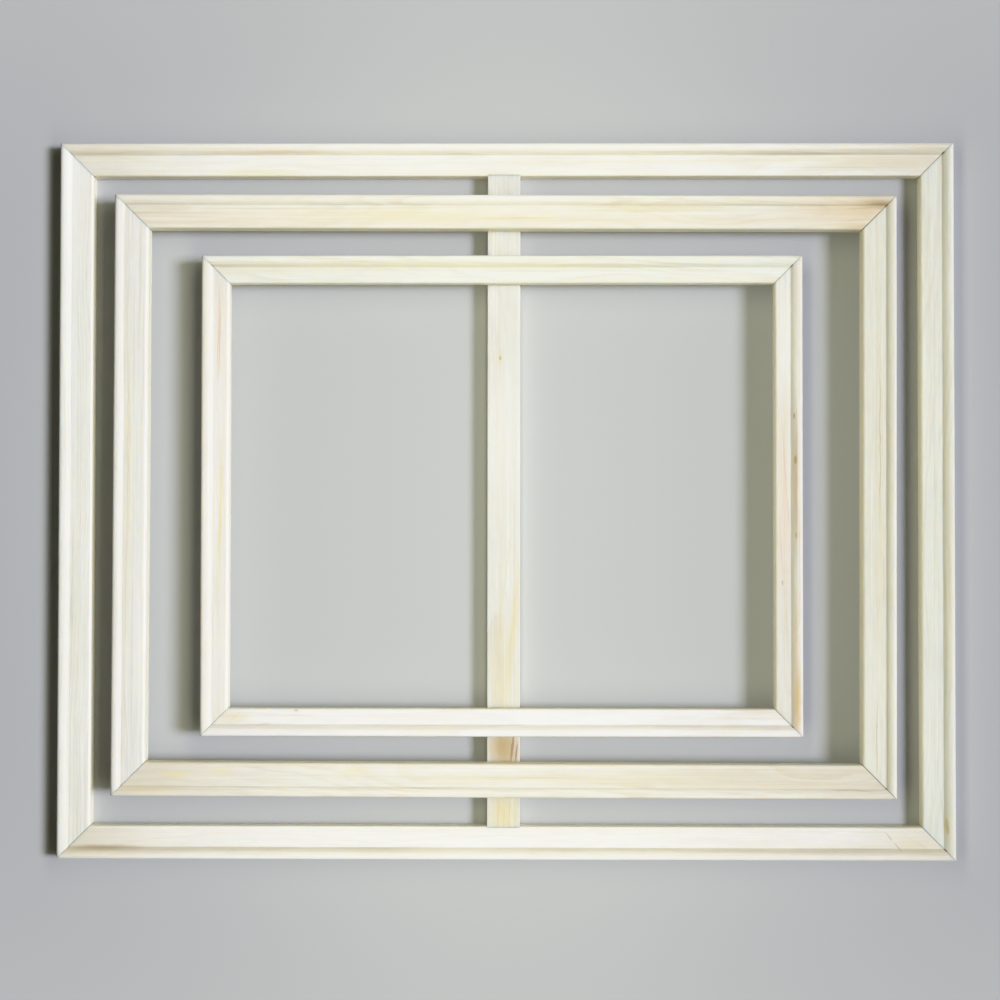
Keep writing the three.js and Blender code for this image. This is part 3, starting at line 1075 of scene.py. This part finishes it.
# Thin lines, knots and spots in the grain, mm in the piece's own plan:
# x, y, half length, half width, degrees, colour, strength
MARKS = {
    "large_top_rail": [
        (302, -2.5, 22, 0.45, -4, TAN, 0.36), (318, -6.0, 18, 0.4, -5, TAN, 0.36),
        (288, 1.0, 16, 0.4, -4, TAN, 0.29), (-150, -5.0, 40, 0.4, 1, TAN, 0.29)],
    "large_left_rail": [
        (60, -1.5, 120, 0.4, 0, GREY, 0.32), (-90, 1.5, 90, 0.4, 0, GREY, 0.25)],
    "large_bottom_rail": [
        (-319.5, -6.2, 6.2, 0.5, 129.5, BROWN, 0.50), (-327.0, 2.8, 6.6, 0.5, 131, BROWN, 0.54),
        (-346, 0.5, 8, 0.35, 150, RUST, 0.29), (-335, -6, 7, 0.3, 140, RUST, 0.22)],
    "large_right_rail": [
        (271, 6.5, 9, 1.8, 8, OLIVE, 0.54), (262, 3.2, 16, 0.4, 4, OLIVE, 0.36),
        (0, -3.3, 190, 0.45, 0, GREY, 0.36)],
    "medium_top_rail": [
        (12, -5.1, 44, 0.8, 1, ORANGE, 0.32), (312, 6.6, 14, 0.9, 1, BROWN, 0.50),
        (300, 3.5, 22, 0.5, 2, BROWN, 0.32), (296, -6, 24, 0.5, 3, RUST, 0.29),
        (-60, 4, 60, 0.6, 0, ORANGE, 0.22)],
    "medium_left_rail": [
        (30, 2.0, 130, 0.5, 0, GREY, 0.36), (-20, -3.0, 100, 0.4, 0, GREY, 0.29)],
    "medium_bottom_rail": [
        (-290, 6.5, 26, 0.5, 0, BROWN, 0.43), (60, 1.0, 60, 0.4, 0, TAN, 0.29)],
    "medium_right_rail": [
        (-48, 0.3, 98, 0.5, 0, BROWN, 0.40), (201, -2.3, 40, 0.5, 0, BROWN, 0.36),
        (60, 3.2, 60, 0.35, 0, RUST, 0.29)],
    "small_top_rail": [(-40, 2, 60, 0.5, 0, TAN, 0.29)],
    "small_left_rail": [
        (139, -3.4, 46, 0.5, 0, RUST, 0.43), (120, -2.0, 36, 0.4, 0, RUST, 0.32),
        (-20, -4.3, 70, 0.7, -1, YELLOW, 0.43)],
    "small_bottom_rail": [
        (170.3, -10.2, 2.6, 1.1, 0, RUST, 0.58), (221, -5, 10, 0.6, 40, TAN, 0.43),
        (197, 1.4, 9, 1.6, 10, GREY, 0.36)],
    "small_right_rail": [
        (-66.3, 4.5, 3.4, 1.2, 0, BROWN, 0.58), (-29.7, 5.2, 4.4, 1.5, 0, BROWN, 0.65),
        (32.5, 5.9, 3.6, 1.1, 0, BROWN, 0.58), (72.3, -5.7, 3.4, 0.8, 0, BROWN, 0.50),
        (-10, 6.2, 76, 0.6, 0, RUST, 0.43), (-45, -4.5, 32, 0.4, 4, RUST, 0.36),
        (-5, -2.0, 40, 0.4, 4, RUST, 0.36), (42, -6.5, 34, 0.4, 3, RUST, 0.36),
        (100, -2, 40, 0.4, 2, RUST, 0.29)],
    BRACE: [
        (119.3, 3.3, 2.4, 1.3, 0, BROWN, 0.50), (-82, 0.9, 84, 0.6, -7.6, TAN, 0.54),
        (-110, -6.5, 60, 0.5, -7, TAN, 0.50), (-150, 6.0, 50, 0.5, -6, TAN, 0.43),
        (-207, -7.2, 17, 1.5, -6, rgb(140, 92, 50), 0.54),
        (-212, -10.6, 12, 1.2, -8, rgb(130, 84, 46), 0.50),
        (-204, 2.5, 16, 0.6, -5, RUST, 0.43), (-262, 4.0, 18, 0.5, -3, RUST, 0.36),
        (-260, -5.0, 18, 0.5, -4, RUST, 0.36), (-266, -0.5, 14, 0.4, -3, RUST, 0.29)],
}
# Wide soft changes of tone, in the same columns. The ones over both ends of the long rails are painted
# shade, where the light falls off to the left and right.
WASHES = {
    "large_top_rail": [
        (375, 0, 125, 34, 0, END_SHADE, 0.22), (-375, 0, 125, 34, 0, END_SHADE, 0.24),
        (-209, -11, 60, 4.5, 0, YELLOW, 0.4), (-195, 5.8, 80, 3.0, 0, RUST, 0.35),
        (247, 5, 90, 2.2, 0, BROWN, 0.30)],
    "large_bottom_rail": [
        (375, 0, 130, 34, 0, END_SHADE, 0.42), (-375, 0, 120, 34, 0, END_SHADE, 0.28),
        (336, 4.2, 44, 4.0, 0, BROWN, 0.55), (-338, 0, 20, 10, 0, YELLOW, 0.25)],
    "large_left_rail": [(285, 0, 120, 24, 0, PALE, 0.55)],
    "large_right_rail": [
        (271, 6.5, 22, 3.5, 0, YELLOW, 0.5), (0, 8, 280, 3, 0, YELLOW, 0.25)],
    "medium_top_rail": [
        (300, 2, 95, 17, 0, ORANGE, 0.55), (316, 7, 34, 6, 0, BROWN, 0.55),
        (292, -12, 34, 5, 0, ORANGE, 0.5), (120, 4, 110, 6, 0, TAN, 0.45),
        (-80, -2, 150, 9, 0, YELLOW, 0.30)],
    "medium_left_rail": [(0, 1, 200, 4, 0, YELLOW, 0.3)],
    "medium_bottom_rail": [
        (325, 0, 120, 34, 0, END_SHADE, 0.30), (-325, 0, 120, 34, 0, END_SHADE, 0.20),
        (272.5, -4.2, 20, 5, 0, YELLOW, 0.5), (233.6, -6.9, 16, 4, 0, YELLOW, 0.45),
        (122.5, -7.4, 18, 4, 0, YELLOW, 0.45), (-180, -3, 170, 12, 0, GREY, 0.35),
        (300, 8, 50, 5, 0, TAN, 0.5)],
    "medium_right_rail": [(0, 0, 240, 5, 0, YELLOW, 0.25)],
    "small_top_rail": [(-20, 3, 200, 4, 0, YELLOW, 0.3)],
    "small_left_rail": [
        (139, -2.8, 58, 2.6, 0, PINK, 0.75), (-20, -4.3, 90, 2.4, -1, YELLOW, 0.6)],
    "small_bottom_rail": [
        (225, -4, 26, 8, 0, TAN, 0.5), (-214, -9, 20, 3, 0, ORANGE, 0.3)],
    "small_right_rail": [
        (-130, -2, 80, 14, 0, PALE, 0.45), (5, -3.9, 130, 8, 0, PINK, 0.6),
        (-10, 5.4, 90, 3.0, 0, RUST, 0.6), (169, 6.5, 50, 5, 0, ORANGE, 0.8),
        (110, 5.5, 60, 2.5, 0, ORANGE, 0.5)],
    BRACE: [
        (60, 0, 120, 24, 0, PALE, 0.28), (119.3, 3.3, 10, 4, 0, TAN, 0.5),
        (-150, 0, 90, 16, 0, TAN, 0.25), (-207, 0, 30, 20, 0, rgb(180, 158, 112), 0.85),
        (-262, 0, 34, 20, 0, YELLOW, 0.55), (-100, -9, 90, 6, -6, TAN, 0.5)],
}
# Strength of the painted shade spot in the recess where the moulding's slope meets the mitre.
SHADE_SPOTS = {
    "large": dict(top_left=0.2, top_right=0.9, bottom_right=0.85),
    "medium": dict(top_right=0.95, bottom_left=0.35, bottom_right=0.8),
    "small": dict(top_left=0.35, top_right=0.95, bottom_right=0.75),
}
# Each spot is two ovals: distance from the outer face, half length, half width, part of strength.
SPOT_OVALS = ((8.7, 2.3, 0.8, 1.0), (5.0, 2.2, 0.4, 0.3))


# painted shade spots at the mitres
def corner_shade_spots(frame_name, side, length, width):
    spots = []
    for end, corner in zip((1, -1), ENDS[side]):
        strength = SHADE_SPOTS[frame_name].get(corner, 0.0)
        if strength:
            for u, along, across, part in SPOT_OVALS:
                x, y = end * (length / 2 - u), width / 2 - u
                spots.append((x, y, along, across, 45 * end, SPOT_SHADE, strength * part))
    return spots


def piece_material(name, seed):
    light, warm, ring, streaks, pith, tilt, spacing, slope = LOOKS[name]
    marks = list(MARKS[name])
    # the brace has neither slope nor mitres, so its sizes here have no effect
    length, width, foot, joint = 600.0, 27.5, 9.5, 0.0
    if name != BRACE:
        frame_name, side = name.split("_")[:2]
        f = FRAMES[frame_name]
        length = f.length if side in ("top", "bottom") else f.height
        width = f.width
        foot = land_start(f)[0] + 0.25
        joint = MITRE_DIRT
        # painted shade spots at the mitres
        marks += corner_shade_spots(frame_name, side, length, width)
    inputs = dict(
        PithY=float(pith[0]),
        PithZ=float(pith[1]),
        TiltY=tilt[0],
        TiltZ=tilt[1],
        Spacing=spacing,
        Ring=ring,
        Streaks=streaks,
        HalfLength=length / 2,
        HalfWidth=width / 2,
        Foot=foot,
        Slope=slope,
        Joint=joint,
        Light=rgb(*light),
        Late=LATE,
        Warm=rgb(*warm),
    )
    return wood_material(name + "_wood", seed, inputs, marks, WASHES[name])


# ------------------------------------------------------------------ build
steel = steel_material()
pieces = {}
for number, (frame_name, side) in enumerate(itertools.product(FRAMES, SIDES)):
    pieces[f"{frame_name}_{side}_rail"] = build_rail(frame_name, side, seed=3.1 * number + 1.0)
pieces[BRACE] = build_brace()
for number, (name, piece) in enumerate(pieces.items()):
    piece.data.materials.append(piece_material(name, seed=100 + 7 * number))

for frame_name, frame in FRAMES.items():
    for strip in corner_strips(frame_name, frame):
        build_strip(
            strip.name, frame.strip_length, STRIP_HALVES, strip.centre, strip.s_dir, strip.t_dir,
            base=frame.place, body=f"{frame_name}_frame", material=steel,
        )
window_y = FRAMES["large"].height / 2 - FRAMES["large"].width
for end, label in ((1, "top"), (-1, "bottom")):
    build_strip(
        f"large_fastener_brace_{label}", BRACE_STRIP_LENGTH, BRACE_STRIP_HALVES,
        centre=(brace_x(), end * window_y), s_dir=(0, 1), t_dir=(1, 0),
        base=Matrix.Identity(4), body="large_frame", material=steel,
    )

# ------------------------------------------------------------------ floor, light, camera; metres
FILL = (1.0, 0.99, 0.76)
FLOOR_HALF = 30
FLOOR_Z = -0.0001
KEY_ELEVATION = math.radians(48.5)
CAMERA_PLACE = (0.011845, -0.036947, 1.690568)
# the camera's right, up and backward directions
CAMERA_AXES = Matrix(
    (
        (0.99995006, 0.00125276, -0.0099154),
        (-0.00103315, 0.99975473, 0.02212266),
        (0.00994068, -0.02211132, 0.99970609),
    )
)
# the tone curve is straight up to CURVE_FROM and bends over towards WHITE
CURVE_FROM = 0.75
WHITE = 1.6
CURVE_STEPS = 16


def build_floor():
    """Grey in the middle, paler away from it, with a fine speckle. The paler ground is a pale floor and
    also painted light where the lamps grow weaker.
    """
    r = FLOOR_HALF
    corners = [(x, y, FLOOR_Z) for x, y in ((-r, -r), (r, -r), (r, r), (-r, r))]
    floor = new_object("floor", corners, [[0, 1, 2, 3]])
    material = bpy.data.materials.new("floor_pale")
    material.use_nodes = True
    shader = material.node_tree.nodes["Principled BSDF"]
    t = Tree(material.node_tree)
    place = t.get("ShaderNodeNewGeometry", "Position")
    away = t.vec("LENGTH", t.vec("MULTIPLY", place, (0.85, 1.0, 0.0)))
    speckle = t.noise(t.vec("MULTIPLY", place, (900, 900, 900)), detail=2, rough=0.6)
    # paler away from the middle: partly painted light where the lamps fall off
    ground = t.mix(away.ramp(zero=0.38, one=1.00), rgb(180, 182, 181), rgb(233, 230, 218))
    tone = t.grey(0.985 + speckle * 0.03)
    t.put(shader.inputs["Base Color"], t.multiplied(ground, tone))
    shader.inputs["Roughness"].default_value = 0.85
    shader.inputs["Specular IOR Level"].default_value = 0.15
    floor.data.materials.append(material)


def build_world(scene):
    """Weak warm light, stronger from the sides; seen directly it is a pale backdrop."""
    world = bpy.data.worlds.new("studio")
    scene.world = world
    world.use_nodes = True
    t = Tree(world.node_tree)
    background = world.node_tree.nodes["Background"]
    up = t.xyz(t.get("ShaderNodeTexCoord", "Generated"))[2]
    low = 1.0 - t.math("MAXIMUM", up, 0.0)
    seen = t.get("ShaderNodeLightPath", "Is Camera Ray")
    t.put(background.inputs["Color"], t.mix(seen, (*FILL, 1), (0.97, 0.98, 0.97, 1)))
    t.put(background.inputs["Strength"], seen.blend(0.035 + low * 0.11, 0.62))


def build_lights(scene):
    # a long soft light over the middle, in line with the centre brace
    ceiling = bpy.data.lights.new("ceiling", "AREA")
    ceiling.shape = "RECTANGLE"
    ceiling.size = 0.20
    ceiling.size_y = 1.2
    ceiling.energy = 2.85
    ceiling.color = FILL
    ob = bpy.data.objects.new("ceiling", ceiling)
    scene.collection.objects.link(ob)
    ob.location = (0.0, 0.0, 0.52)
    ob.visible_camera = False
    ob.visible_glossy = False

    # a slightly blue sun from +X
    key = bpy.data.lights.new("key", "SUN")
    key.energy = 2.62
    key.angle = math.radians(16)
    key.color = (0.985, 1.0, 1.20)
    ob = bpy.data.objects.new("key", key)
    scene.collection.objects.link(ob)
    to_light = Vector((math.cos(KEY_ELEVATION), -0.01, math.sin(KEY_ELEVATION))).normalized()
    ob.rotation_mode = "QUATERNION"
    ob.rotation_quaternion = to_light.to_track_quat("Z", "Y")


def build_camera(scene):
    """Looks almost straight down."""
    camera = bpy.data.cameras.new("camera")
    camera.sensor_width = 36.0
    camera.lens = 72.0
    camera.clip_start = 0.05
    camera.clip_end = 60
    ob = bpy.data.objects.new("camera", camera)
    scene.collection.objects.link(ob)
    ob.matrix_world = Matrix.Translation(CAMERA_PLACE) @ CAMERA_AXES.transposed().to_4x4()
    scene.camera = ob


def toned(value):
    if value < CURVE_FROM:
        return value
    room = 1 - CURVE_FROM
    return 1 - room * math.exp(-(value - CURVE_FROM) / room)


def set_view(scene):
    """A soft shoulder, so that pale wood keeps its grain in full light."""
    view = scene.view_settings
    view.view_transform = "Standard"
    view.look = "None"
    view.exposure = 0.0
    view.gamma = 1.0
    view.use_curve_mapping = True
    mapping = view.curve_mapping
    mapping.white_level = (WHITE, WHITE, WHITE)
    points = mapping.curves[3].points
    points[0].location = (0, 0)
    for i in range(1, CURVE_STEPS):
        points.new(i / CURVE_STEPS, toned(WHITE * i / CURVE_STEPS))
    points[len(points) - 1].location = (1, toned(WHITE))
    mapping.update()


build_floor()
scene = bpy.context.scene
build_world(scene)
build_lights(scene)
build_camera(scene)
set_view(scene)
